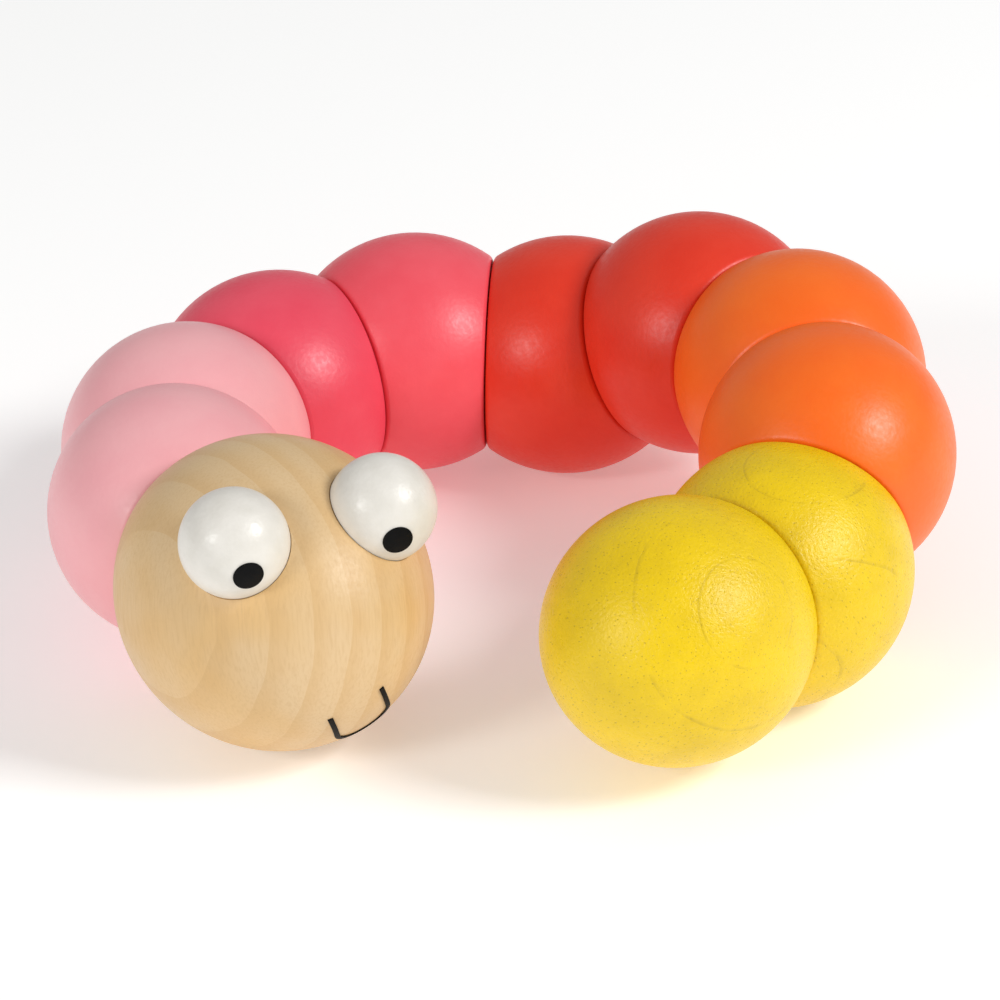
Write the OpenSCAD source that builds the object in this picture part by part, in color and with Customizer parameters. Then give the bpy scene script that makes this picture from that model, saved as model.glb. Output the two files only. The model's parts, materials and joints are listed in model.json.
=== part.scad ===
// Wooden twisting worm: a plain wooden head and ten painted beads in a row.
// Both ends of a bead are sawn at an angle, so each turn of a joint bends the row another way.
// A pin glued in one bead snaps into a bush in the next, and turns there without a stop.
// Units are millimetres and +Z is up. The origin is on the table, below the middle of the worm.

/* [Beads] */
// Diameter of a coloured bead at its middle
bead_d = 25.5; // [20:0.5:31]
// How much longer than wide a bead is turned, before it is sawn
bead_stretch = 2; // [0.5:0.5:5]
// How much narrower than a bead its sawn joint faces are
face_step = 5.1; // [4:0.1:8]
// Angle between the two sawn faces of a bead
wedge = 31.5; // [15:0.5:38]
// Gap between two faces that turn on each other
face_gap = 0.15; // [0.1:0.05:0.4]

/* [Head] */
// Diameter of the head across its face
head_d = 30; // [25:0.1:36]
// How much longer than wide the head is turned
head_stretch = 3.6; // [1:0.1:6]

/* [Eyes] */
// Diameter of an eye ball
eye_d = 10.4; // [9:0.1:13]
// How much narrower than its ball the flat foot of an eye is
eye_foot_step = 0.6; // [0.2:0.1:3]
// Angle between the nose line and the left eye
left_eye_tilt = 63.5; // [50:0.5:75]
// Angle between the nose line and the right eye
right_eye_tilt = 58.5; // [50:0.5:75]
// Angle round the nose line from the top of the face to the left eye
left_eye_turn = 37.5; // [30:0.5:60]
// Angle round the nose line from the top of the face to the right eye
right_eye_turn = 30.5; // [30:0.5:60]
// How deep the seat under an eye is cut where it is shallowest
eye_bite = 0.1; // [0.05:0.05:0.4]
// Diameter of the dowel on the back of an eye
eye_dowel_d = 4; // [3:0.5:5]
// Length of the dowel on the back of an eye
eye_dowel_len = 4; // [3:0.5:5]
// Diameter of a pupil
pupil_d = 2.9; // [2:0.1:4]
// Angle between the nose line and the way the eyes look
gaze_tilt = 18; // [0:1:25]
// Angle round the nose line from the top of the face to the way the eyes look
gaze_turn = 229; // [90:1:270]

/* [Smile] */
// Width of the smile between the middles of its two arms
smile_w = 5.6; // [4:0.1:9]
// Length of each straight arm of the smile
smile_arm = 4.4; // [1:0.1:8]
// Width of the printed line
smile_line = 0.5; // [0.4:0.05:1]
// Angle between the nose line and the middle of the smile
smile_tilt = 25; // [15:1:40]
// Angle round the nose line from the top of the face to the middle of the smile
smile_turn = 172; // [150:1:210]
// How far the smile leans over to one side
smile_lean = 19; // [-30:1:30]

/* [Joints] */
// Diameter of a joint pin
pin_d = 4.5; // [3.5:0.1:5.5]
// Depth of a pin in the bead that it is glued into
pin_seat = 5.5; // [4:0.5:6.5]
// Outside diameter of a joint bush
bush_d = 8; // [6.8:0.1:9.6]
// Length of a joint bush
bush_len = 6; // [5:0.1:6.5]
// Diameter of the snap ring at the end of a pin
snap_d = 5.3; // [5:0.1:6]

/* [Fits] */
// Gap round a pin where it turns in the neck of its bush
run_fit = 0.05; // [0.03:0.01:0.08]
// Gap round a glued dowel, pin or bush
glue_fit = 0.03; // [0.02:0.01:0.06]
// Gap round the foot of an eye in its seat
seat_fit = 0.15; // [0.1:0.05:0.3]
// Gap round and behind a snap ring
snap_fit = 0.3; // [0.2:0.05:0.4]
// Thickness of the printed pupils and smile
ink_h = 0.12; // [0.1:0.02:0.2]
// Gap between a print and the ball under it
ink_fit = 0.02; // [0.01:0.01:0.05]

/* [Hidden] */
$fn = 96;
bead_count = 10;

// Turn of each joint at rest, in degrees, from the neck to the tail. Every joint turns all the way.
twist = [93, -4, -7, 17, -55, 71, -22, 25, -83, 0];
// Direction in plan from the head to the first bead
heading = 120;
// The head (0) and the two beads that touch the table
feet = [0, 9, 5];
settle_steps = 12;

// One colour for each bead, from the neck to the tail
light_pink = "#f3b2b6";
raspberry = "#e85565";
hot_pink = "#f15f6c";
red = "#e3442b";
orange = "#f16a22";
yellow = "#eccb1c";
bead_paint = [light_pink, light_pink, raspberry, hot_pink, red, red, orange, orange, yellow, yellow];
bare_wood = "#dfc096";
eye_white = "#e6e3dc";
print_black = "#16161a";
nylon = "#efece0";

snap_rim = 0.6;
snap_taper = 1.3;
end_play = 0.1;
// Room beyond the neck of a bush, in which the snap ring turns
chamber_len = 2.7;
// The narrow neck of a bush, in which the pin turns
neck_len = bush_len - chamber_len;
overcut = 1;
far = 4 * head_d;

// ---- The turned profile: a side arc and two smaller tip arcs that run into it ----

// Half the turned length
function half_len(d, stretch) = (d + stretch) / 2;
// Radius of the arc along the side
function side_r(d, stretch) = half_len(d, stretch) * (d + stretch / 2) / d;
// Radius of the arc round a tip
function tip_r(d, stretch) = d * d / (4 * half_len(d, stretch));
// How far beyond the axis the side arc has its centre
function side_back(d, stretch) = side_r(d, stretch) - d / 2;
// Distance from the middle to where the profile has a given radius
function reach(d, stretch, r) = sqrt(pow(side_r(d, stretch), 2) - pow(r + side_back(d, stretch), 2));

face_d = bead_d - face_step;
bead_reach = reach(bead_d, bead_stretch, face_d / 2);
head_reach = reach(head_d, head_stretch, face_d / 2);

// A slanted cut leaves a face whose middle is a little outside the line from the bead's centre.
back = side_back(bead_d, bead_stretch);
half_chord2 = pow(side_r(bead_d, bead_stretch), 2) - pow(bead_reach, 2) - pow(back * sin(wedge / 2), 2);
chord_slant = 2 * back * bead_reach * sin(wedge / 2);
face_shift = (sqrt(half_chord2 - chord_slant) - sqrt(half_chord2 + chord_slant)) / 2;

// ---- The chain: one frame on each joint face, with Z out of the face ----

function unit(v) = v / norm(v);
function move(v) = [[1, 0, 0, v.x], [0, 1, 0, v.y], [0, 0, 1, v.z], [0, 0, 0, 1]];
function turn_y(a) = [[cos(a), 0, sin(a), 0], [0, 1, 0, 0], [-sin(a), 0, cos(a), 0], [0, 0, 0, 1]];
function turn_z(a) = [[cos(a), -sin(a), 0, 0], [sin(a), cos(a), 0, 0], [0, 0, 1, 0], [0, 0, 0, 1]];
function origin_of(m) = [m[0][3], m[1][3], m[2][3]];
function axis_of(m) = [m[0][2], m[1][2], m[2][2]];

face_to_middle = move([-face_shift, 0, bead_reach]) * turn_y(wedge / 2);
middle_to_face = turn_y(wedge / 2) * move([face_shift, 0, bead_reach]);

// The face of the head or of bead i that looks to the tail
function out_face(i) = i == 0 ? move([0, 0, head_reach]) : in_face(i) * face_to_middle * middle_to_face;
// The face of bead i that looks to the head
function in_face(i) = out_face(i - 1) * move([0, 0, face_gap]) * turn_z(twist[i - 1]);
// The middle of the head or of bead i, with Z along the line it was turned on
function middle(i) = i == 0 ? move([0, 0, 0])
    : i == bead_count ? in_face(i) * move([0, 0, bead_reach])
    : in_face(i) * face_to_middle;

// ---- Eyes and mouth: each frame has its Z straight out of the head ----

head_back = side_back(head_d, head_stretch);
head_side_r = side_r(head_d, head_stretch);
eye_foot_d = eye_d - eye_foot_step;
eye_seat_r = eye_foot_d / 2 + seat_fit;
eye_lift = sqrt(pow(eye_d / 2, 2) - pow(eye_foot_d / 2, 2));
function eye_tilt(side) = side < 0 ? left_eye_tilt : right_eye_tilt;
function eye_turn(side) = side < 0 ? -left_eye_turn : right_eye_turn;
// Round the nose line the head curves more tightly than along it
function round_r(side) = head_side_r - head_back / sin(eye_tilt(side));
function eye_seat(side) = eye_bite + round_r(side) - sqrt(pow(round_r(side), 2) - pow(eye_seat_r, 2));
function surface_normal(side) =
    turn_z(eye_turn(side)) * move([-head_back, 0, 0]) * turn_y(180 - eye_tilt(side));
function eye_foot(side) = surface_normal(side) * move([0, 0, head_side_r - eye_seat(side)]);
function eye_middle(side) = eye_foot(side) * move([0, 0, eye_lift]);

// ---- The rest: the plane under three of the balls is laid on the table ----

function body_d(i) = i == 0 ? head_d : bead_d;
function body_stretch(i) = i == 0 ? head_stretch : bead_stretch;
// The outermost point of ball i in a direction, and how far out it is
function outermost(i, dir) =
    let (m = middle(i), axis = axis_of(m), across = unit(dir - (dir * axis) * axis))
    let (d = body_d(i), stretch = body_stretch(i))
    origin_of(m) + side_r(d, stretch) * dir - side_back(d, stretch) * across;
function extent(i, dir) = outermost(i, dir) * dir;
function settle(up, steps) = steps == 0 ? up
    : let (p = [for (i = feet) outermost(i, -up)])
      settle(unit(cross(p[1] - p[0], p[2] - p[0])), steps - 1);

centres = [for (i = feet) origin_of(middle(i))];
up = settle(unit(cross(centres[1] - centres[0], centres[2] - centres[0])), settle_steps);
ahead = unit([0, 0, 1] - up.z * up);
aside = cross(up, ahead);
level = turn_z(heading) * [concat(ahead, [0]), concat(aside, [0]), concat(up, [0]), [0, 0, 0, 1]];

// Directions of the table's axes seen from the head, and the worm's extents along them
function seen(k) = [level[k][0], level[k][1], level[k][2]];
function eye_extent(dir) = max([for (side = [-1, 1]) origin_of(eye_middle(side)) * dir]) + eye_d / 2;
function worm_extent(dir) = max(concat([for (i = [0:bead_count]) extent(i, dir)], [eye_extent(dir)]));
function worm_middle(dir) = (worm_extent(dir) - worm_extent(-dir)) / 2;
stand = move([-worm_middle(seen(0)), -worm_middle(seen(1)), worm_extent(-seen(2))]) * level;

module at(frame) {
    multmatrix(stand * frame) children();
}

// ---- Shapes ----

// Half of the profile, to be spun round the Z axis
module turned_profile(d, stretch, grow = 0) {
    tip = half_len(d, stretch) - tip_r(d, stretch);
    join = side_r(d, stretch) * tip / (side_r(d, stretch) - tip_r(d, stretch));
    intersection() {
        union() {
            intersection() {
                translate([-side_back(d, stretch), 0]) circle(side_r(d, stretch) + grow);
                square([far, 2 * join], center = true);
            }
            for (s = [-1, 1]) translate([0, s * tip]) circle(tip_r(d, stretch) + grow);
        }
        translate([0, -far / 2]) square([far, far]);
    }
}

// Two halves that meet where the ball is widest
module turned_ball(d, stretch, grow = 0) {
    for (s = [0, 1]) rotate_extrude() intersection() {
        turned_profile(d, stretch, grow);
        translate([0, -s * far]) square([far, far]);
    }
}

// Everything beyond a joint face
module saw_cut() {
    cylinder(r = far, h = far);
}

module pin_bore() {
    translate([0, 0, -pin_seat]) cylinder(d = pin_d + 2 * glue_fit, h = pin_seat + overcut);
}

module bush_bore() {
    translate([0, 0, -overcut]) cylinder(d = bush_d + 2 * glue_fit, h = bush_len + overcut);
}

// ---- Parts ----

module head() {
    color(bare_wood) at(move([0, 0, 0])) difference() {
        turned_ball(head_d, head_stretch);
        translate([0, 0, head_reach]) {
            saw_cut();
            pin_bore();
        }
        for (side = [-1, 1]) multmatrix(eye_foot(side)) {
            cylinder(r = eye_seat_r, h = far);
            translate([0, 0, -eye_dowel_len])
                cylinder(d = eye_dowel_d + 2 * glue_fit, h = eye_dowel_len + overcut);
        }
    }
}

module bead(i) {
    color(bead_paint[i - 1]) at(in_face(i)) difference() {
        multmatrix(face_to_middle) turned_ball(bead_d, bead_stretch);
        mirror([0, 0, 1]) saw_cut();
        bush_bore();
        multmatrix(face_to_middle * middle_to_face) {
            saw_cut();
            pin_bore();
        }
    }
}

module tail_bead() {
    color(bead_paint[bead_count - 1]) at(in_face(bead_count)) difference() {
        translate([0, 0, bead_reach]) turned_ball(bead_d, bead_stretch);
        mirror([0, 0, 1]) saw_cut();
        bush_bore();
    }
}

// Pin i holds bead i to the ball before it
module pin(i) {
    shank = pin_seat + face_gap + neck_len + end_play;
    color(nylon) at(out_face(i - 1)) translate([0, 0, -pin_seat]) {
        cylinder(d = pin_d, h = shank);
        translate([0, 0, shank]) cylinder(d = snap_d, h = snap_rim);
        translate([0, 0, shank + snap_rim]) cylinder(d1 = snap_d, d2 = pin_d - snap_rim, h = snap_taper);
    }
}

module bush(i) {
    color(nylon) at(in_face(i)) difference() {
        cylinder(d = bush_d, h = bush_len);
        translate([0, 0, -overcut]) cylinder(d = pin_d + 2 * run_fit, h = bush_len);
        translate([0, 0, neck_len]) cylinder(d = snap_d + 2 * snap_fit, h = bush_len);
    }
}

module eye(side) {
    color(eye_white) at(eye_foot(side)) {
        intersection() {
            translate([0, 0, eye_lift]) sphere(d = eye_d);
            cylinder(r = eye_d, h = far);
        }
        translate([0, 0, -eye_dowel_len]) cylinder(d = eye_dowel_d, h = eye_dowel_len + eye_lift);
    }
}

module pupil(side) {
    color(print_black) at(move(origin_of(eye_middle(side)))) intersection() {
        difference() {
            sphere(r = eye_d / 2 + ink_fit + ink_h);
            sphere(r = eye_d / 2 + ink_fit);
        }
        rotate([0, 0, gaze_turn]) rotate([0, 180 - gaze_tilt, 0]) cylinder(d = pupil_d, h = eye_d);
    }
}

// A U with its middle at the origin and its arms along +X
module smile_outline() {
    bend = smile_arm / 2;
    translate([-bend, 0]) difference() {
        circle(d = smile_w + smile_line);
        circle(d = smile_w - smile_line);
        translate([0, -smile_w]) square([smile_w, 2 * smile_w]);
    }
    for (s = [-1, 1]) translate([-bend, s * smile_w / 2 - smile_line / 2]) square([smile_arm, smile_line]);
}

module smile() {
    color(print_black) at(move([0, 0, 0])) intersection() {
        difference() {
            turned_ball(head_d, head_stretch, ink_fit + ink_h);
            turned_ball(head_d, head_stretch, ink_fit);
        }
        rotate([0, 0, smile_turn]) rotate([0, 180 - smile_tilt, 0]) rotate([0, 0, smile_lean])
            linear_extrude(height = head_d) smile_outline();
    }
}

head();
eye(-1);  // eye_left
eye(1);  // eye_right
pupil(-1);  // pupil_left
pupil(1);  // pupil_right
smile();
for (i = [1:bead_count - 1]) bead(i);
tail_bead();
for (i = [1:bead_count]) pin(i);
for (i = [1:bead_count]) bush(i);
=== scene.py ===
# %% [markdown]
# # A wooden twisting worm
#
# The toy is a plain wooden ball for a head and ten painted balls behind it. Both ends of each
# painted ball are sawn at an angle, and a hidden pivot lets every ball turn on the next. The CAD
# model gives all sizes and places. Here we give it its looks: softly rounded rims, satin paint,
# stained and bare wood, a camera and light.
#
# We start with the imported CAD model. All its parts come in at their places, in metres.

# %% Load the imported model
import json
import math

import bpy
from mathutils import Matrix, Vector


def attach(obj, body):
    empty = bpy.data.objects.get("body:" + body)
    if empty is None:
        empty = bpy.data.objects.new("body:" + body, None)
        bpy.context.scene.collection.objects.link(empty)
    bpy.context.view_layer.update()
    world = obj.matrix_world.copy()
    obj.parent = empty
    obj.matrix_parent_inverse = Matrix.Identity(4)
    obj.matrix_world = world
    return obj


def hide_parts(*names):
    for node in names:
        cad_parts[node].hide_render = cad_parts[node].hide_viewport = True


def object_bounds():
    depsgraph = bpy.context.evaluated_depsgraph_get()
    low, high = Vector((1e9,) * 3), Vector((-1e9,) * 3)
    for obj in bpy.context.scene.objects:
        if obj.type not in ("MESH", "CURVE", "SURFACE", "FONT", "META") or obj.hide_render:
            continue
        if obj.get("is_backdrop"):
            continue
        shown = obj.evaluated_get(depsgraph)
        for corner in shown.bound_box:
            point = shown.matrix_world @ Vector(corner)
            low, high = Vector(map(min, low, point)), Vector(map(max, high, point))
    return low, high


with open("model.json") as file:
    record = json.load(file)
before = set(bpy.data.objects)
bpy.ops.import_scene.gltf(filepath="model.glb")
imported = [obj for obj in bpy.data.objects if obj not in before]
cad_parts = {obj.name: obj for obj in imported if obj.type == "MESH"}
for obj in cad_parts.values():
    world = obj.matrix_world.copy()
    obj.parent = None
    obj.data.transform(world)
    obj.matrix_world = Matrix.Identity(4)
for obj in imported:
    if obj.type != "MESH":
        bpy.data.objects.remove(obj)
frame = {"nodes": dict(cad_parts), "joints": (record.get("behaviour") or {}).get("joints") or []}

cad_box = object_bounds()
joints = {joint["name"]: joint for joint in frame["joints"]}
print("CAD nodes:", len(frame["nodes"]), "joints:", len(joints))

# %% [markdown]
# ## Camera
#
# The toy is looked at from the front and a little above, through a long lens from about 40 cm,
# so the balls in front look hardly larger than those behind. The camera leans over a little, as
# one held by hand does. A camera looks along its own -Z, so `to_track_quat` turns that axis to
# the point it aims at, and a last turn about the same axis gives the lean.

# %% Camera
CAMERA_PLACE = Vector((-0.00382, -0.37895, 0.20917))
AIM = Vector((-0.00013, -0.00247, 0.01325))
LEAN = math.radians(2.77)
LONG_LENS, SENSOR = 152.6, 36.0

lens = bpy.data.cameras.new("camera")
lens.lens, lens.sensor_width = LONG_LENS, SENSOR
lens.clip_start, lens.clip_end = 0.02, 20.0
camera = bpy.data.objects.new("camera", lens)
bpy.context.scene.collection.objects.link(camera)
turn = (AIM - CAMERA_PLACE).to_track_quat("-Z", "Y").to_matrix().to_4x4()
camera.matrix_world = Matrix.Translation(CAMERA_PLACE) @ turn @ Matrix.Rotation(-LEAN, 4, "Z")
bpy.context.scene.camera = camera
print("camera is", round((AIM - CAMERA_PLACE).length, 3), "m from the toy")

# %% [markdown]
# ## Floor and light
#
# A product table is a plain white sheet under soft light. A big plane does for the sheet, and a
# little light of its own, as from a lamp under the sheet, keeps shadows on it faint. The world
# gives even light from all round, as a light tent does. Two soft boxes, one at the right and one
# at the left front, put a soft bright spot on each ball and shape it.

# %% Helpers for materials
def linear(hex_colour):
    """An sRGB colour such as #ffcc00 as the linear red, green, blue and alpha that Blender uses."""
    parts = [int(hex_colour[i:i + 2], 16) / 255 for i in (1, 3, 5)]
    return tuple(c / 12.92 if c <= 0.04045 else ((c + 0.055) / 1.055) ** 2.4 for c in parts) + (1.0,)


def add(tree, kind, links=None, **settings):
    """Adds a node. settings are its own properties or its sockets by name, with _ for a space.

    links gives an input's name or number and the output that feeds it.
    """
    made = tree.nodes.new(kind)
    for name, value in settings.items():
        socket = made.inputs.get(name.replace("_", " "))
        if hasattr(made, name):
            setattr(made, name, value)
        else:
            socket.default_value = value
    for name, source in (links or {}).items():
        tree.links.new(source, made.inputs[name])
    return made


def new_material(name):
    """An empty material and its node tree."""
    made = bpy.data.materials.new(name)
    made.use_nodes = True
    made.node_tree.nodes.clear()
    return made, made.node_tree


print("#e43218 in linear numbers:", [round(part, 3) for part in linear("#e43218")[:3]])

# %% Floor
SHEET = 6.0
GLOW = 0.24            # the sheet's own light

bpy.ops.object.select_all(action="DESELECT")
bpy.ops.mesh.primitive_plane_add(size=SHEET, location=(0, 0, 0))
floor = bpy.context.object
floor.name = "floor"
floor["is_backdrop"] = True

card, tree = new_material("white_card")
place = add(tree, "ShaderNodeTexCoord")
fibre = add(tree, "ShaderNodeTexNoise", {"Vector": place.outputs["Object"]}, Scale=900.0, Detail=3.0)
pulp = add(tree, "ShaderNodeBump", {"Height": fibre.outputs["Fac"]}, Strength=0.1, Distance=0.0001)
paper = add(tree, "ShaderNodeBsdfPrincipled", {"Normal": pulp.outputs["Normal"]},
            Base_Color=linear("#fbfbfa"), Roughness=0.8,
            Emission_Color=linear("#ffffff"), Emission_Strength=GLOW)
add(tree, "ShaderNodeOutputMaterial", {"Surface": paper.outputs["BSDF"]})
floor.data.materials.append(card)
print("floor", floor.dimensions[:])

# %% Light tent and soft boxes
TENT = 0.37            # strength of the even light from all round
BOX_DISTANCE = 0.9

world = bpy.data.worlds.new("light_tent")
bpy.context.scene.world = world
world.use_nodes = True
world.node_tree.nodes["Background"].inputs["Color"].default_value = linear("#ffffff")
world.node_tree.nodes["Background"].inputs["Strength"].default_value = TENT


def soft_box(name, way, size, watts):
    """A square soft light in the direction way, turned to the middle of the toy."""
    lamp = bpy.data.lights.new(name, "AREA")
    lamp.shape, lamp.size, lamp.energy = "SQUARE", size, watts
    made = bpy.data.objects.new(name, lamp)
    bpy.context.scene.collection.objects.link(made)
    made.location = AIM + Vector(way).normalized() * BOX_DISTANCE
    made.rotation_mode = "QUATERNION"
    made.rotation_quaternion = (AIM - made.location).to_track_quat("-Z", "Y")
    return made


soft_box("right_soft_box", (0.72, -0.34, 0.62), 0.26, 4.8)
soft_box("left_soft_box", (-0.66, -0.60, 0.46), 0.24, 2.3)
bpy.context.scene.view_settings.view_transform = "Standard"

# %% [markdown]
# ## Where each ball is
#
# Every joint of the record has its place and its axis, straight out of the two sawn faces that
# turn on each other. A ball between two joints is the same on both sides, so its middle and its
# own axis follow from the two faces: the axis halves the angle between the two normals, and the
# thin side of the wedge is the one that both faces lean out to.

# %% Frames of the balls
GAP = 0.00015          # between two faces that turn on each other
BEAD_D, BEAD_STRETCH = 0.0255, 0.002
FACE_R = 0.0102        # radius of a sawn face
BALLS = 11
ROOT_BALL = 5          # up to this joint, the record's axes point to the head


def face_pair(number):
    """Point and normal, towards the tail, of the sawn face before joint `number`."""
    joint = joints[f"joint_{number}"]
    normal = Vector(joint["axis"]).normalized()
    return Vector(joint["pos_m"]), -normal if number <= ROOT_BALL else normal


def half_length(diameter, stretch):
    """Half the length of a ball before it is sawn."""
    return (diameter + stretch) / 2


def side_radius(diameter, stretch):
    """Radius of the arc along the side of a ball that is turned longer than wide."""
    return half_length(diameter, stretch) * (diameter + stretch / 2) / diameter


def reach(diameter, stretch, radius):
    """Distance from the middle to where the turned ball has a given radius."""
    side = side_radius(diameter, stretch)
    return math.sqrt(side ** 2 - (radius + side - diameter / 2) ** 2)


_, first_normal = face_pair(1)
_, second_normal = face_pair(2)
WEDGE = first_normal.angle(second_normal)
BEAD_REACH = reach(BEAD_D, BEAD_STRETCH, FACE_R)
# The middle of a slanted face lies a little off the line from the middle of the bead
bead_side = side_radius(BEAD_D, BEAD_STRETCH)
bead_beyond = bead_side - BEAD_D / 2
half_chord = bead_side ** 2 - BEAD_REACH ** 2 - (bead_beyond * math.sin(WEDGE / 2)) ** 2
slant = 2 * bead_beyond * BEAD_REACH * math.sin(WEDGE / 2)
FACE_SHIFT = (math.sqrt(half_chord - slant) - math.sqrt(half_chord + slant)) / 2
print("wedge", round(math.degrees(WEDGE), 2), "degrees, faces", round(BEAD_REACH * 1000, 2), "mm out")


def axes(z_way, x_way, place):
    """The matrix of a frame with its Z along z_way and its X near x_way."""
    z = z_way.normalized()
    y = z.cross(x_way).normalized()
    made = Matrix((y.cross(z), y, z)).transposed().to_4x4()
    return Matrix.Translation(place) @ made


def bead_frame(number):
    """The middle of a bead with two faces, Z along its turned axis and X to its thin side."""
    point_in, normal_in = face_pair(number)
    point_out, normal_out = face_pair(number + 1)
    across = (normal_out - normal_in).normalized()
    into = BEAD_REACH * math.sin(WEDGE / 2) + FACE_SHIFT * math.cos(WEDGE / 2)
    middle = (point_in + GAP * normal_in + point_out) / 2 - into * across
    return axes(normal_in + normal_out, across, middle)


def tail_frame():
    """The middle of the last bead, Z along its turned axis and away from its sawn face."""
    point, normal = face_pair(BALLS - 1)
    side_way = Vector((0, 0, 1)) - normal.z * normal
    return axes(normal, side_way, point + normal * (GAP + BEAD_REACH))


for number in (1, 5, 9):
    print("bead", number, [round(v * 1000, 1) for v in bead_frame(number).translation])

# %% [markdown]
# ## A turned ball
#
# The balls are turned on a lathe, a little longer than wide. We work the same way. The profile
# is drawn by spinning a single point about the middle of each arc: the tip, the long side, the
# other tip. A second spin carries the profile once round the ball's axis. A sphere stretched in
# one direction would be quicker, but its curve would be wrong where the faces are sawn.

# %% Lathe
FACET = 0.0005         # length of one straight piece of the profile
UNCUT = 0.02           # a height past either tip, so nothing is cut off there


def start_piece(name):
    """Deselects everything and starts an empty mesh object, in edit mode."""
    bpy.ops.object.select_all(action="DESELECT")
    mesh = bpy.data.meshes.new(name)
    made = bpy.data.objects.new(name, mesh)
    bpy.context.scene.collection.objects.link(made)
    bpy.context.view_layer.objects.active = made
    made.select_set(True)
    bpy.ops.object.mode_set(mode="EDIT")
    bpy.ops.mesh.select_mode(type="VERT")
    return made


def sweep(radius, centre, angle):
    """Carries the selected end of the profile on, clockwise round centre in the XZ plane."""
    steps = max(2, round(radius * angle / FACET))
    bpy.ops.mesh.spin(steps=steps, angle=angle, center=centre, axis=(0, -1, 0))


def turned_ball(name, diameter, stretch, low, high, steps=160):
    """A turned ball between the heights low and high, open where it is cut, with Z its axis.

    The side's arc has its centre beyond the axis, which makes the ball longer than wide.
    """
    made = start_piece(name)
    side = side_radius(diameter, stretch)
    beyond = side - diameter / 2
    tip = diameter ** 2 / (4 * half_length(diameter, stretch))
    tip_z = half_length(diameter, stretch) - tip
    join = side * tip_z / (side - tip)
    tip_angle = math.acos((join - tip_z) / tip)
    top, bottom = min(high, join), max(low, -join)
    cut_edge = (math.sqrt(side ** 2 - top ** 2) - beyond, 0, top)
    start = (0, 0, tip_z + tip) if high > join else cut_edge
    # A new plane merged to its centre is the single point that draws the profile
    bpy.ops.mesh.primitive_plane_add(size=FACET, location=start)
    bpy.ops.mesh.merge(type="CENTER")
    if high > join:
        sweep(tip, (0, 0, tip_z), tip_angle)
    sweep(side, (-beyond, 0, 0), math.asin(top / side) - math.asin(bottom / side))
    if low < -join:
        sweep(tip, (0, 0, -tip_z), tip_angle)
    bpy.ops.mesh.select_all(action="SELECT")
    bpy.ops.mesh.spin(steps=steps, angle=math.tau, center=(0, 0, 0), axis=(0, 0, 1))
    bpy.ops.mesh.select_all(action="SELECT")
    bpy.ops.mesh.remove_doubles(threshold=FACET / 25)
    bpy.ops.mesh.normals_make_consistent(inside=False)
    bpy.ops.object.mode_set(mode="OBJECT")
    print(name, len(made.data.vertices), "points,", [round(d * 1000, 2) for d in made.dimensions])
    return made


blank = turned_ball("turned_blank", BEAD_D, BEAD_STRETCH, -UNCUT, UNCUT)

# %% [markdown]
# ## A painted bead
#
# The shape to make is a turned ball less two slices. Sawing the lathe mesh with `bisect` gives
# the right shape, but its rim is then made of uneven slivers that a bevel can't round. So we
# start from the rim: a circle as large as the sawn face is spun about the line where the two
# sawn planes meet, from one face to the other. A Shrinkwrap modifier then lays every ring on
# the turned ball. All quads run from rim to rim, so the rims can be rounded cleanly.

# %% Helpers for sawn faces
RIM_SOFT = 0.0004      # how far the sanded rim reaches from the edge
PIN_BORE_R, PIN_BORE_DEPTH = 0.00228, 0.0055
BUSH_BORE_R, BUSH_BORE_DEPTH = 0.00403, 0.006
ON_PLANE = 0.0001      # an edge nearer than this to a plane lies on it
SMOOTH_UP_TO = math.radians(35)


def select_loop(made, centre, normal):
    """Selects the open edges that lie on the plane through centre, in edit mode."""
    bpy.ops.mesh.select_mode(type="EDGE")
    bpy.ops.mesh.select_all(action="DESELECT")
    bpy.ops.mesh.select_non_manifold(extend=False, use_wire=False, use_boundary=True,
                                     use_multi_face=False, use_non_contiguous=False, use_verts=False)
    bpy.ops.object.mode_set(mode="OBJECT")
    points = made.data.vertices
    for edge in made.data.edges:
        middle = (points[edge.vertices[0]].co + points[edge.vertices[1]].co) / 2
        edge.select = edge.select and abs((middle - centre).dot(normal)) < ON_PLANE
    bpy.ops.object.mode_set(mode="EDIT")


def close_face(made, centre, normal, rim_radius, bore_radius, depth):
    """Closes an open rim with a flat ring and a blind bore. normal points out of the wood."""
    select_loop(made, centre, normal)
    bpy.ops.mesh.extrude_edges_move()
    shrink = bore_radius / rim_radius
    bpy.ops.transform.resize(value=(shrink, shrink, shrink), center_override=centre)
    bpy.ops.mesh.extrude_edges_move(TRANSFORM_OT_translate={"value": -depth * normal})
    bpy.ops.mesh.edge_face_add()


def soften_rim(made, rims, soft=RIM_SOFT):
    """Bevels the edges where the side meets the sawn faces. rims holds (centre, normal, radius)."""
    bpy.ops.mesh.select_mode(type="EDGE")
    bpy.ops.mesh.select_all(action="DESELECT")
    bpy.ops.object.mode_set(mode="OBJECT")
    points = made.data.vertices
    for edge in made.data.edges:
        ends = [points[v].co for v in edge.vertices]
        edge.select = any(
            all(abs((co - centre).dot(normal)) < ON_PLANE
                and (co - centre).length > 0.9 * radius for co in ends)
            for centre, normal, radius in rims)
    bpy.ops.object.mode_set(mode="EDIT")
    bpy.ops.mesh.bevel(offset=soft, segments=4, affect="EDGES")


def finish_piece():
    """Turns the faces outwards and smooths what isn't a sharp edge."""
    bpy.ops.mesh.select_all(action="SELECT")
    bpy.ops.mesh.normals_make_consistent(inside=False)
    bpy.ops.object.mode_set(mode="OBJECT")
    bpy.ops.object.shade_smooth_by_angle(angle=SMOOTH_UP_TO)


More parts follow.
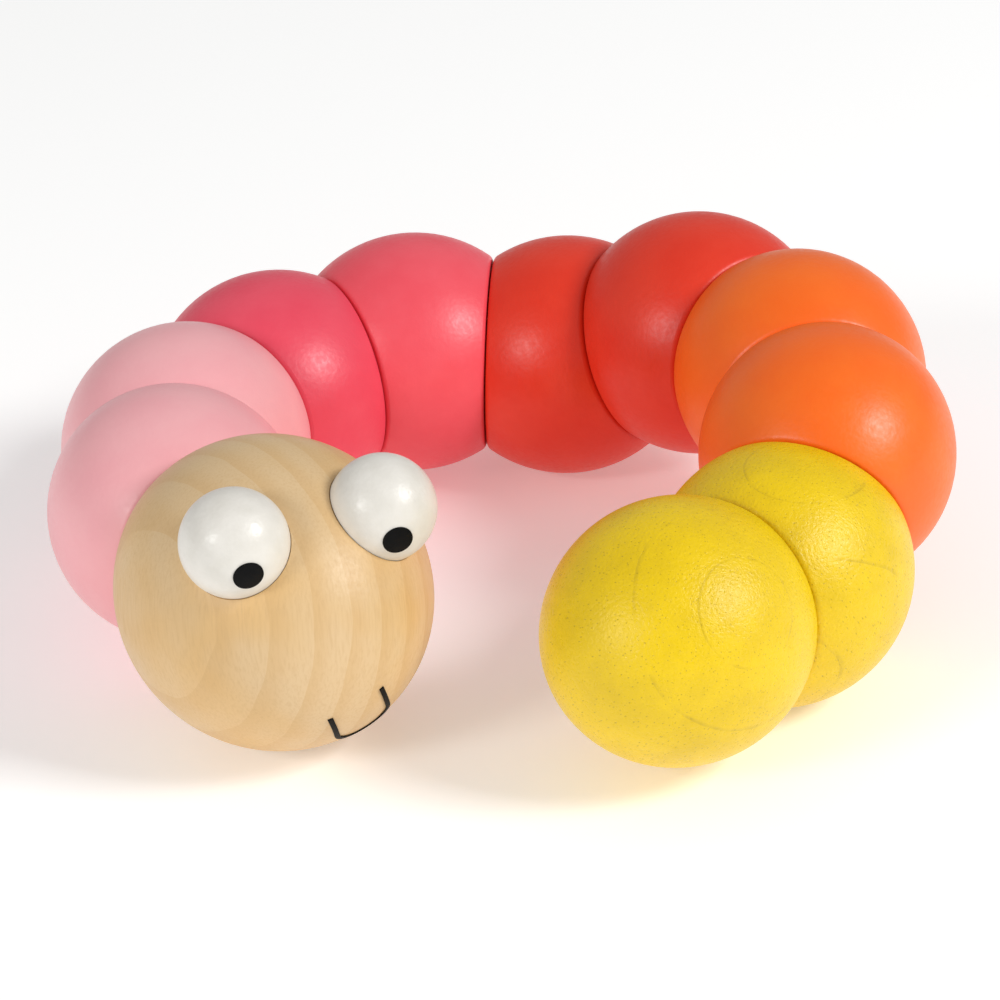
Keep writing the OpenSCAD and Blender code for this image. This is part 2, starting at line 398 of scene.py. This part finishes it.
# %% Sawn faces of a bead
half = WEDGE / 2
NORMAL_IN = Vector((math.sin(half), 0, -math.cos(half)))
NORMAL_OUT = Vector((math.sin(half), 0, math.cos(half)))
face_x = BEAD_REACH * math.sin(half) + FACE_SHIFT * math.cos(half)
face_z = BEAD_REACH * math.cos(half) - FACE_SHIFT * math.sin(half)
FACE_IN, FACE_OUT = Vector((face_x, 0, -face_z)), Vector((face_x, 0, face_z))
HINGE_X = BEAD_REACH / math.sin(half)
print("the sawn planes meet", round(HINGE_X * 1000, 1), "mm from the middle")

# %% First bead
RING, RINGS = 128, 26

first_bead = start_piece("bead_pattern")
bpy.ops.mesh.primitive_circle_add(vertices=RING, radius=FACE_R, location=FACE_IN,
                                  rotation=(0, -half, 0))
bpy.ops.mesh.spin(steps=RINGS, angle=WEDGE, center=(HINGE_X, 0, 0), axis=(0, -1, 0))
bpy.ops.object.mode_set(mode="OBJECT")
print("spun into", len(first_bead.data.polygons), "quads")

wrap = first_bead.modifiers.new("on_the_ball", "SHRINKWRAP")
wrap.target, wrap.wrap_method = blank, "NEAREST_SURFACEPOINT"
bpy.ops.object.modifier_apply(modifier="on_the_ball")

bpy.ops.object.mode_set(mode="EDIT")
close_face(first_bead, FACE_IN, NORMAL_IN, FACE_R, BUSH_BORE_R, BUSH_BORE_DEPTH)
close_face(first_bead, FACE_OUT, NORMAL_OUT, FACE_R, PIN_BORE_R, PIN_BORE_DEPTH)
soften_rim(first_bead, [(FACE_IN, NORMAL_IN, FACE_R), (FACE_OUT, NORMAL_OUT, FACE_R)])
finish_piece()
print("bead pattern", len(first_bead.data.polygons), "faces,",
      [round(d * 1000, 2) for d in first_bead.dimensions])

# %% [markdown]
# ## Tail bead
#
# The last ball has one sawn face and keeps its round end. That face is square to the axis it was
# turned on, so its rim is a clean ring of the lathe's mesh, and the ball can come straight off
# the lathe without the spun rim and the Shrinkwrap.

# %% Tail bead
DOWN, UP = Vector((0, 0, -1)), Vector((0, 0, 1))
tail_face = Vector((0, 0, -BEAD_REACH))
tail_bead = turned_ball("tail_turned", BEAD_D, BEAD_STRETCH, -BEAD_REACH, UNCUT)
bpy.ops.object.mode_set(mode="EDIT")
close_face(tail_bead, tail_face, DOWN, FACE_R, BUSH_BORE_R, BUSH_BORE_DEPTH)
soften_rim(tail_bead, [(tail_face, DOWN, FACE_R)])
finish_piece()

# %% [markdown]
# ## Setting the beads in place
#
# Nine beads are the same, so the pattern is copied and each copy is carried to its own frame.
# The place goes into the mesh and the object stays at the origin, as the CAD parts do, so wood
# grain and paint texture stay put when a joint turns.

# %% Set a piece in place
def set_in_place(made, name, place, body, node):
    """Moves the mesh to its frame, names the piece and ties it to its CAD body."""
    made.data.transform(place)
    made.name = made.data.name = name
    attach(made, body)
    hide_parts(node)
    return made


BEAD_SLOTS = ["light_pink_paint", "light_pink_paint", "raspberry_paint", "hot_pink_paint",
              "red_paint", "red_paint", "orange_paint", "orange_paint", "yellow_stain"]
beads = {}
for number, slot in enumerate(BEAD_SLOTS, start=1):
    copy = first_bead.copy()
    copy.data = first_bead.data.copy()
    bpy.context.scene.collection.objects.link(copy)
    body = f"bead_{number}"
    beads[number] = set_in_place(copy, f"turned_bead_{number}", bead_frame(number), body, body)
tail = set_in_place(tail_bead, "turned_tail_bead", tail_frame(), "tail", "tail_bead")
bpy.data.objects.remove(first_bead)
bpy.data.objects.remove(blank)
print("beads in place:", len(beads) + 1)

# %% [markdown]
# ## Head
#
# The head comes off the same lathe, larger and sawn square at the neck. Two flat seats with a
# dowel hole each are drilled for the eyes. The drill is a plain cylinder, and a Boolean modifier
# takes it out of the ball.

# %% Head
HEAD_D, HEAD_STRETCH = 0.030, 0.0036
EYE_D, EYE_FOOT_R = 0.0104, 0.0049
EYE_LIFT = math.sqrt((EYE_D / 2) ** 2 - EYE_FOOT_R ** 2)
SEAT_GAP = 0.00015     # round the foot of an eye
SEAT_R = EYE_FOOT_R + SEAT_GAP
DOWEL_R, DOWEL_LENGTH, DOWEL_GAP = 0.002, 0.004, 0.00003
DRILL_LENGTH = 0.006
# The middle of each eye and the way it stands up from the head
EYES = {
    "left": (Vector((-0.025106, -0.0334065, 0.0263797)), Vector((-0.220785, -0.63796, 0.73774))),
    "right": (Vector((-0.0114164, -0.0271341, 0.0259276)), Vector((0.66406, -0.21534, 0.715997))),
}

neck_point, neck_normal = face_pair(1)
head_reach = reach(HEAD_D, HEAD_STRETCH, FACE_R)
head_frame = axes(neck_normal, UP, neck_point - neck_normal * head_reach)
neck_face = Vector((0, 0, head_reach))
head = turned_ball("head_turned", HEAD_D, HEAD_STRETCH, -UNCUT, head_reach)
bpy.ops.object.mode_set(mode="EDIT")
close_face(head, neck_face, UP, FACE_R, PIN_BORE_R, PIN_BORE_DEPTH)
soften_rim(head, [(neck_face, UP, FACE_R)])
finish_piece()
head = set_in_place(head, "turned_head", head_frame, "head", "head")


def drill(target, radius, start, way):
    """Takes a cylinder out of target, from start along way, which has length 1."""
    bpy.ops.object.select_all(action="DESELECT")
    bpy.ops.mesh.primitive_cylinder_add(vertices=96, radius=radius, depth=DRILL_LENGTH)
    bit = bpy.context.object
    bit.data.transform(axes(way, UP, start + way * DRILL_LENGTH / 2))
    bpy.context.view_layer.objects.active = target
    cut = target.modifiers.new("drill", "BOOLEAN")
    cut.object, cut.operation, cut.solver = bit, "DIFFERENCE", "EXACT"
    bpy.ops.object.modifier_apply(modifier="drill")
    bpy.data.objects.remove(bit)


for middle, stand in EYES.values():
    way = stand.normalized()
    foot = middle - way * EYE_LIFT
    drill(head, SEAT_R, foot, way)
    drill(head, DOWEL_R + DOWEL_GAP, foot - way * DOWEL_LENGTH, way)
bpy.context.view_layer.objects.active = head
head.select_set(True)
bpy.ops.object.shade_smooth_by_angle(angle=SMOOTH_UP_TO)
print("head", len(head.data.polygons), "faces")

# %% [markdown]
# ## Eyes
#
# An eye is a small turned ball with a flat foot and a dowel that goes into the head. We cut the
# foot off a sphere, draw the open rim in to the width of the dowel, pull it down to the dowel's
# length, and soften the edge of the foot, where the real one is tumbled smooth.

# %% Eyes
FOOT_SOFT = 0.0002     # a foot's edge is sanded less than a bead's rim
SHARP_CUT = 1e-7       # without this, bisect takes all within 0.1 mm as lying on its plane
foot = Vector((0, 0, -EYE_LIFT))

for side, (middle, way) in EYES.items():
    eye = start_piece(f"eye_ball_{side}")
    bpy.ops.mesh.primitive_uv_sphere_add(segments=96, ring_count=64, radius=EYE_D / 2)
    bpy.ops.mesh.bisect(plane_co=foot, plane_no=UP, clear_inner=True, threshold=SHARP_CUT)
    close_face(eye, foot, DOWN, EYE_FOOT_R, DOWEL_R, -DOWEL_LENGTH)
    soften_rim(eye, [(foot, DOWN, EYE_FOOT_R)], soft=FOOT_SOFT)
    finish_piece()
    set_in_place(eye, f"turned_eye_{side}", axes(way, UP, middle), "head", f"eye_{side}")
    print(eye.name, len(eye.data.polygons), "faces")

# %% [markdown]
# ## Satin paint
#
# The pink, red and orange balls are sprayed with an opaque satin paint, in thin coats over
# sealed wood. Such paint is even in colour, with a broad soft shine. What keeps it from looking
# like plastic is small: a fine orange peel from the spray, about half a millimetre from bump to
# bump, faint fibres of the wood under it, and coats that lie a little thicker here and there.

# %% Paint
def satin_paint(name, full, thin):
    """Opaque satin paint. full is its colour where the coat is thick, thin where it is thin.

    A pattern's scale is 1 over its size in metres: patches 7 mm, peel 0.5 mm, fibres 0.3 by 4 mm.
    """
    made, tree = new_material(name)
    place = add(tree, "ShaderNodeTexCoord").outputs["Object"]
    cloud = add(tree, "ShaderNodeTexNoise", {"Vector": place}, Scale=1 / 0.007, Detail=3.0, Roughness=0.6)
    spread = add(tree, "ShaderNodeMapRange", {"Value": cloud.outputs["Fac"]}, From_Min=0.35, From_Max=0.7)
    colour = add(tree, "ShaderNodeMixRGB", {"Fac": spread.outputs["Result"]},
                 Color1=linear(full), Color2=linear(thin))
    peel = add(tree, "ShaderNodeTexNoise", {"Vector": place}, Scale=1 / 0.0005, Detail=2.0)
    grain = add(tree, "ShaderNodeMapping", {"Vector": place}, Rotation=(0.4, 0.9, 0.3),
                Scale=(1 / 0.0003, 1 / 0.0003, 1 / 0.004))
    fibres = add(tree, "ShaderNodeTexNoise", {"Vector": grain.outputs["Vector"]}, Scale=1.0, Detail=3.0)
    sheen = add(tree, "ShaderNodeMapRange", {"Value": peel.outputs["Fac"]},
                From_Min=0.3, From_Max=0.7, To_Min=0.34, To_Max=0.44)
    under = add(tree, "ShaderNodeBump", {"Height": fibres.outputs["Fac"]}, Strength=0.25, Distance=0.00003)
    over = add(tree, "ShaderNodeBump", {"Height": peel.outputs["Fac"], "Normal": under.outputs["Normal"]},
               Strength=0.5, Distance=0.00005)
    paint = add(tree, "ShaderNodeBsdfPrincipled",
                {"Base Color": colour.outputs["Color"], "Roughness": sheen.outputs["Result"],
                 "Normal": over.outputs["Normal"]}, IOR=1.48)
    add(tree, "ShaderNodeOutputMaterial", {"Surface": paint.outputs["BSDF"]})
    return made


PAINTS = {
    "light_pink_paint": satin_paint("light_pink_satin_paint", "#f6adb3", "#f8b5b9"),
    "raspberry_paint": satin_paint("raspberry_satin_paint", "#ec4a60", "#f05468"),
    "hot_pink_paint": satin_paint("hot_pink_satin_paint", "#f35462", "#f65e6b"),
    "red_paint": satin_paint("red_satin_paint", "#e43218", "#e93c22"),
    "orange_paint": satin_paint("orange_satin_paint", "#fc6a10", "#fd7218"),
}
print("paints:", list(PAINTS))

# %% [markdown]
# ## Stained wood
#
# The two yellow balls are stained rather than painted, and the wood shows through: growth rings
# as thin dark lines that fade in and out, fine pores as short dashes along the grain, and darker
# patches where the wood drank more stain. A sanded surface under thin stain stays a little rough,
# which breaks the bright spots up into sparkle. The wood's own frame has Z along the grain,
# through the heart of the tree, so rings are circles round Z. A Mapping node of type Texture turns
# the piece into it.

# %% Yellow stain
WAVE = 0.31416         # a Wave Texture of scale 1 repeats in this length

def yellow_stain(name, heart):
    """Translucent satin stain. heart is the wood's frame, with Z along the grain.

    Rings are 5.2 mm apart, patches 6 mm across, pores 0.4 by 1.1 mm and the grit 0.3 mm.
    """
    made, tree = new_material(name)
    place = add(tree, "ShaderNodeTexCoord").outputs["Object"]
    wood = add(tree, "ShaderNodeMapping", {"Vector": place}, vector_type="TEXTURE",
               Location=heart.translation, Rotation=heart.to_euler())
    wander = add(tree, "ShaderNodeTexNoise", {"Vector": wood.outputs["Vector"]}, Scale=1 / 0.008, Detail=2.0)
    shift = add(tree, "ShaderNodeVectorMath", {0: wander.outputs["Color"]}, operation="SCALE", Scale=0.0007)
    bent = add(tree, "ShaderNodeVectorMath", {0: wood.outputs["Vector"], 1: shift.outputs["Vector"]},
               operation="ADD")
    rings = add(tree, "ShaderNodeTexWave", {"Vector": bent.outputs["Vector"]}, wave_type="RINGS",
                rings_direction="Z", wave_profile="SAW", Scale=WAVE / 0.0052)
    line = add(tree, "ShaderNodeMapRange", {"Value": rings.outputs["Fac"]}, interpolation_type="SMOOTHSTEP",
               From_Min=0.94, From_Max=0.99, To_Min=0.0, To_Max=0.4)
    patch = add(tree, "ShaderNodeTexNoise", {"Vector": place}, Scale=1 / 0.006, Detail=4.0, Roughness=0.65)
    gate = add(tree, "ShaderNodeMapRange", {"Value": patch.outputs["Fac"]}, From_Min=0.42, From_Max=0.58)
    broken = add(tree, "ShaderNodeMath", {0: line.outputs["Result"], 1: gate.outputs["Result"]},
                 operation="MULTIPLY")
    drunk = add(tree, "ShaderNodeMapRange", {"Value": patch.outputs["Fac"]}, From_Min=0.4, From_Max=0.68)
    body = add(tree, "ShaderNodeMixRGB", {"Fac": drunk.outputs["Result"]},
               Color1=linear("#f2cd00"), Color2=linear("#e6c204"))
    ringed = add(tree, "ShaderNodeMixRGB", {"Fac": broken.outputs["Value"], "Color1": body.outputs["Color"]},
                 Color2=linear("#b89a1c"))
    along = add(tree, "ShaderNodeMapping", {"Vector": wood.outputs["Vector"]},
                Scale=(1 / 0.00036, 1 / 0.00036, 1 / 0.0011))
    pores = add(tree, "ShaderNodeTexVoronoi", {"Vector": along.outputs["Vector"]}, Scale=1.0)
    pore = add(tree, "ShaderNodeMapRange", {"Value": pores.outputs["Distance"]},
               interpolation_type="SMOOTHSTEP", From_Min=0.24, From_Max=0.08, To_Min=0.0, To_Max=0.5)
    dotted = add(tree, "ShaderNodeMixRGB", {"Fac": pore.outputs["Result"], "Color1": ringed.outputs["Color"]},
                 Color2=linear("#a3850f"))
    grit = add(tree, "ShaderNodeTexNoise", {"Vector": place}, Scale=1 / 0.00034, Detail=3.0, Roughness=0.6)
    sheen = add(tree, "ShaderNodeMapRange", {"Value": grit.outputs["Fac"]},
                From_Min=0.3, From_Max=0.7, To_Min=0.24, To_Max=0.42)
    raised = add(tree, "ShaderNodeBump", {"Height": grit.outputs["Fac"]}, Strength=1.0, Distance=0.0001)
    sunk = add(tree, "ShaderNodeBump", {"Height": pore.outputs["Result"], "Normal": raised.outputs["Normal"]},
               invert=True, Strength=0.6, Distance=0.00005)
    grooved = add(tree, "ShaderNodeBump",
                  {"Height": broken.outputs["Value"], "Normal": sunk.outputs["Normal"]},
                  invert=True, Strength=0.5, Distance=0.00006)
    stain = add(tree, "ShaderNodeBsdfPrincipled",
                {"Base Color": dotted.outputs["Color"], "Roughness": sheen.outputs["Result"],
                 "Normal": grooved.outputs["Normal"]}, IOR=1.48)
    add(tree, "ShaderNodeOutputMaterial", {"Surface": stain.outputs["BSDF"]})
    return made


tail_heart = axes(Vector((0.455, -0.704, 0.545)), UP, tail_frame().translation)
bead_heart = axes(Vector((-0.3, -0.35, 0.89)), UP, bead_frame(9).translation + Vector((0.006, 0.004, 0.0)))
tail_stain = yellow_stain("yellow_stain_on_tail", tail_heart)
bead_stain = yellow_stain("yellow_stain_on_bead", bead_heart)
print("stains:", tail_stain.name, bead_stain.name)

# %% [markdown]
# ## Bare wood
#
# The head is left the colour of the wood, under a clear satin lacquer. The wood is pale and fine
# grained. Its growth rings show as soft bands some three millimetres apart with a thinner dark
# edge, and very fine fibres run along them. The pith is far away, so the rings are nearly flat
# sheets, and on the ball they show as arcs.

# %% Bare wood
def bare_wood(name, heart):
    """Pale wood under clear satin lacquer.

    heart has X across the growth rings, which are 3.4 mm apart, and Z along the grain. Fibres are
    0.2 by 3.5 mm, flecks lie 6 mm apart, and the lacquer ripples every 0.6 mm.
    """
    made, tree = new_material(name)
    place = add(tree, "ShaderNodeTexCoord").outputs["Object"]
    wood = add(tree, "ShaderNodeMapping", {"Vector": place}, vector_type="TEXTURE",
               Location=heart.translation, Rotation=heart.to_euler())
    wander = add(tree, "ShaderNodeTexNoise", {"Vector": wood.outputs["Vector"]}, Scale=1 / 0.012, Detail=2.0)
    shift = add(tree, "ShaderNodeVectorMath", {0: wander.outputs["Color"]}, operation="SCALE", Scale=0.0016)
    bent = add(tree, "ShaderNodeVectorMath", {0: wood.outputs["Vector"], 1: shift.outputs["Vector"]},
               operation="ADD")
    rings = add(tree, "ShaderNodeTexWave", {"Vector": bent.outputs["Vector"]}, wave_type="BANDS",
                bands_direction="X", wave_profile="SAW", Scale=WAVE / 0.0034)
    late = add(tree, "ShaderNodeMapRange", {"Value": rings.outputs["Fac"]}, interpolation_type="SMOOTHSTEP",
               From_Min=0.35, From_Max=0.95, To_Min=0.0, To_Max=0.42)
    patch = add(tree, "ShaderNodeTexNoise", {"Vector": place}, Scale=1 / 0.011, Detail=2.0)
    warm = add(tree, "ShaderNodeMapRange", {"Value": patch.outputs["Fac"]}, From_Min=0.42, From_Max=0.7)
    early = add(tree, "ShaderNodeMixRGB", {"Fac": warm.outputs["Result"]},
                Color1=linear("#dfc093"), Color2=linear("#deb67a"))
    banded = add(tree, "ShaderNodeMixRGB", {"Fac": late.outputs["Result"], "Color1": early.outputs["Color"]},
                 Color2=linear("#d3aa70"))
    along = add(tree, "ShaderNodeMapping", {"Vector": wood.outputs["Vector"]},
                Scale=(1 / 0.00022, 1 / 0.00022, 1 / 0.0035))
    fibres = add(tree, "ShaderNodeTexNoise", {"Vector": along.outputs["Vector"]},
                 Scale=1.0, Detail=4.0, Roughness=0.6)
    streak = add(tree, "ShaderNodeMapRange", {"Value": fibres.outputs["Fac"]},
                 From_Min=0.45, From_Max=0.75, To_Min=0.0, To_Max=0.35)
    streaked = add(tree, "ShaderNodeMixRGB",
                   {"Fac": streak.outputs["Result"], "Color1": banded.outputs["Color"]},
                   Color2=linear("#c79f6b"))
    flecks = add(tree, "ShaderNodeTexVoronoi", {"Vector": place}, Scale=1 / 0.006)
    fleck = add(tree, "ShaderNodeMapRange", {"Value": flecks.outputs["Distance"]},
                interpolation_type="SMOOTHSTEP", From_Min=0.03, From_Max=0.012, To_Min=0.0, To_Max=0.55)
    dotted = add(tree, "ShaderNodeMixRGB",
                 {"Fac": fleck.outputs["Result"], "Color1": streaked.outputs["Color"]},
                 Color2=linear("#7d5a36"))
    sheen = add(tree, "ShaderNodeMapRange", {"Value": fibres.outputs["Fac"]},
                From_Min=0.3, From_Max=0.7, To_Min=0.36, To_Max=0.48)
    ripple = add(tree, "ShaderNodeTexNoise", {"Vector": place}, Scale=1 / 0.0006, Detail=2.0)
    soft = add(tree, "ShaderNodeBump", {"Height": ripple.outputs["Fac"]}, Strength=0.5, Distance=0.00006)
    combed = add(tree, "ShaderNodeBump", {"Height": fibres.outputs["Fac"], "Normal": soft.outputs["Normal"]},
                 Strength=0.4, Distance=0.00003)
    lacquered = add(tree, "ShaderNodeBsdfPrincipled",
                    {"Base Color": dotted.outputs["Color"], "Roughness": sheen.outputs["Result"],
                     "Normal": combed.outputs["Normal"]}, IOR=1.48)
    add(tree, "ShaderNodeOutputMaterial", {"Surface": lacquered.outputs["BSDF"]})
    return made


head_heart = axes(Vector((0.0, 0.32, 0.95)), Vector((-0.8, -0.56, 0.18)), head_frame.translation)
head_wood = bare_wood("lacquered_bare_wood", head_heart)
print("head wood:", head_wood.name, "with", len(head_wood.node_tree.nodes), "nodes")

# %% [markdown]
# ## Enamel, ink and nylon
#
# The eyes are dipped in white enamel, which leaves a satin skin that is slightly uneven. Pupils
# and smile are printed ink, nearly black and rather matt. Pins and bushes are moulded nylon: an
# off-white plastic with a fine matt skin. They are hidden unless a joint is taken apart.

# %% Small finishes
def fine_finish(name, colour, other, patch_size, skin_size, skin_depth, shine, specular=0.5):
    """A finish of two near colours in soft patches under a fine uneven skin. Sizes are in metres."""
    made, tree = new_material(name)
    place = add(tree, "ShaderNodeTexCoord").outputs["Object"]
    cloud = add(tree, "ShaderNodeTexNoise", {"Vector": place}, Scale=1 / patch_size, Detail=3.0)
    spread = add(tree, "ShaderNodeMapRange", {"Value": cloud.outputs["Fac"]}, From_Min=0.35, From_Max=0.7)
    tint = add(tree, "ShaderNodeMixRGB", {"Fac": spread.outputs["Result"]},
               Color1=linear(colour), Color2=linear(other))
    skin = add(tree, "ShaderNodeTexNoise", {"Vector": place}, Scale=1 / skin_size, Detail=2.0)
    sheen = add(tree, "ShaderNodeMapRange", {"Value": skin.outputs["Fac"]}, From_Min=0.3, From_Max=0.7,
                To_Min=shine, To_Max=shine + 0.1)
    bumps = add(tree, "ShaderNodeBump", {"Height": skin.outputs["Fac"]}, Strength=0.5, Distance=skin_depth)
    finish = add(tree, "ShaderNodeBsdfPrincipled",
                 {"Base Color": tint.outputs["Color"], "Roughness": sheen.outputs["Result"],
                  "Normal": bumps.outputs["Normal"]}, IOR=1.5, Specular_IOR_Level=specular)
    add(tree, "ShaderNodeOutputMaterial", {"Surface": finish.outputs["BSDF"]})
    return made


enamel = fine_finish("white_eye_enamel", "#e8e4dc", "#e1ddd4", 0.0018, 0.0004, 0.00007, 0.28)
ink = fine_finish("black_printed_ink", "#020203", "#060607", 0.0008, 0.0002, 0.00001, 0.5, specular=0.12)
nylon = fine_finish("moulded_nylon", "#efece0", "#e6e2d4", 0.003, 0.0004, 0.00002, 0.4)

print("small finishes:", enamel.name, ink.name, nylon.name)

# %% [markdown]
# ## Giving every piece its finish
#
# Each piece takes one material. The CAD parts that stay, the prints and the joint parts, come in
# with a flat grey, so their slots are emptied first and filled in the same way.

# %% Coats
def coat(piece, material):
    """Makes material the only one of the piece."""
    piece.data.materials.clear()
    piece.data.materials.append(material)


for number, slot in enumerate(BEAD_SLOTS, start=1):
    coat(beads[number], PAINTS.get(slot, bead_stain))
coat(tail, tail_stain)
coat(head, head_wood)
for side in EYES:
    coat(bpy.data.objects[f"turned_eye_{side}"], enamel)
for name, node in frame["nodes"].items():
    if name.startswith("pupil_") or name == "smile":
        coat(node, ink)
    if name.startswith("pin_") or name.startswith("bush_"):
        coat(node, nylon)
print("finishes:", len([m for m in bpy.data.materials if m.users]))

# %% [markdown]
#
# The looks must not change the toy's size. The box of all pieces is measured again and kept
# beside the box of the CAD model, so that the two can be compared.

# %% Sizes and end
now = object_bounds()
for title, (low, high) in (("CAD", cad_box), ("looks", now)):
    print(title, [round(v * 1000, 2) for v in high - low], "mm")
